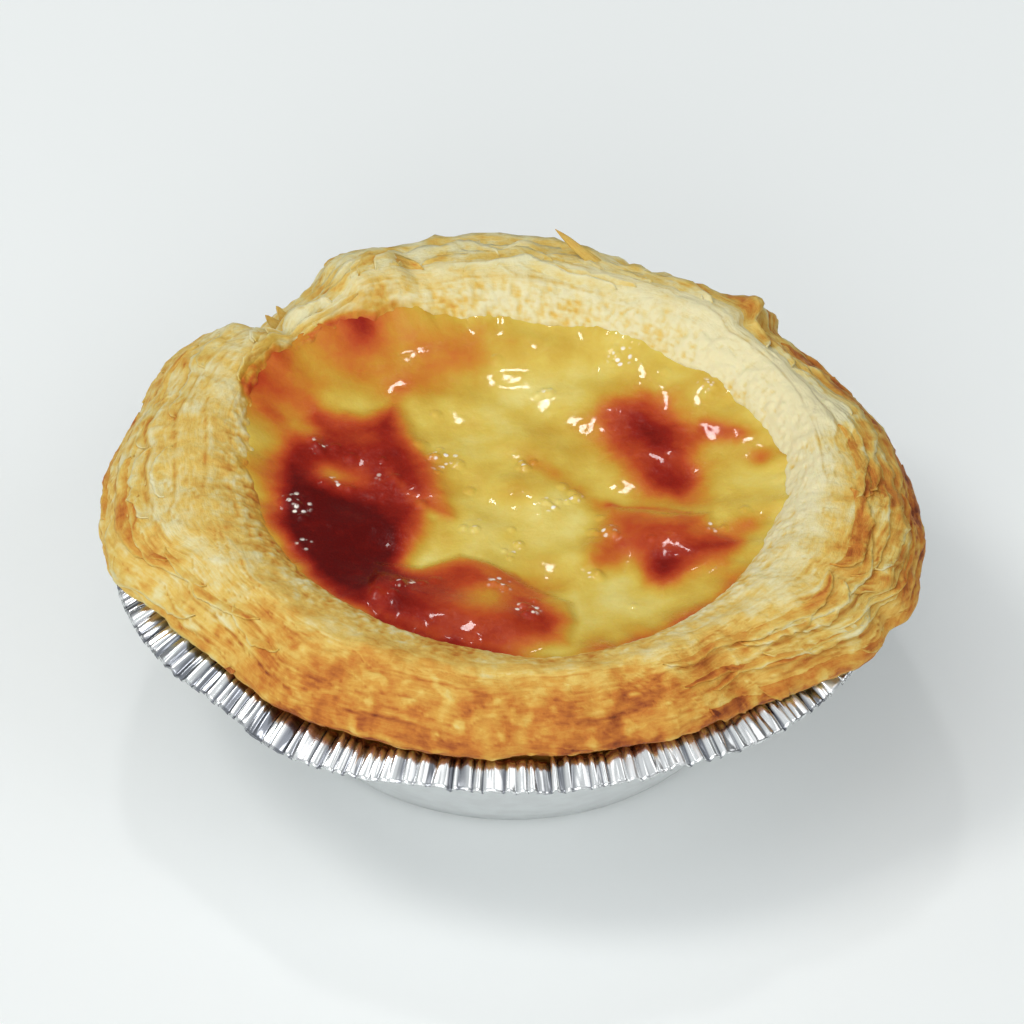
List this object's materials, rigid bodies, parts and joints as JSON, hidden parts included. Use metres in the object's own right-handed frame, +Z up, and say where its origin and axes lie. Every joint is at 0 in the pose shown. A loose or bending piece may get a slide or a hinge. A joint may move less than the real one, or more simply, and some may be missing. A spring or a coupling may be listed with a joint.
{
  "type": "portuguese custard tart in a foil tin",
  "caption": "Round flaky pastry tart with a scorched baked custard filling, standing in its own crimped foil tin.",
  "frame": {"origin": "centre of the tin's flat base, on the surface it stands on", "axes": "+Z up; -Y towards the front of the tart, the side with the darkest scorch at front left; +X to the right"},
  "size_m": [0.0823, 0.079, 0.028],
  "materials": {
    "foil": "thin bright crimped foil",
    "pastry": "flaky baked puff pastry, golden brown on its layers and pale on the crest",
    "custard": "glossy baked egg custard with dark caramelised patches"
  },
  "bodies": {
    "root": {"foil_tin": "foil", "pastry_crust": "pastry", "custard_filling": "custard"}
  },
  "joints": []
}
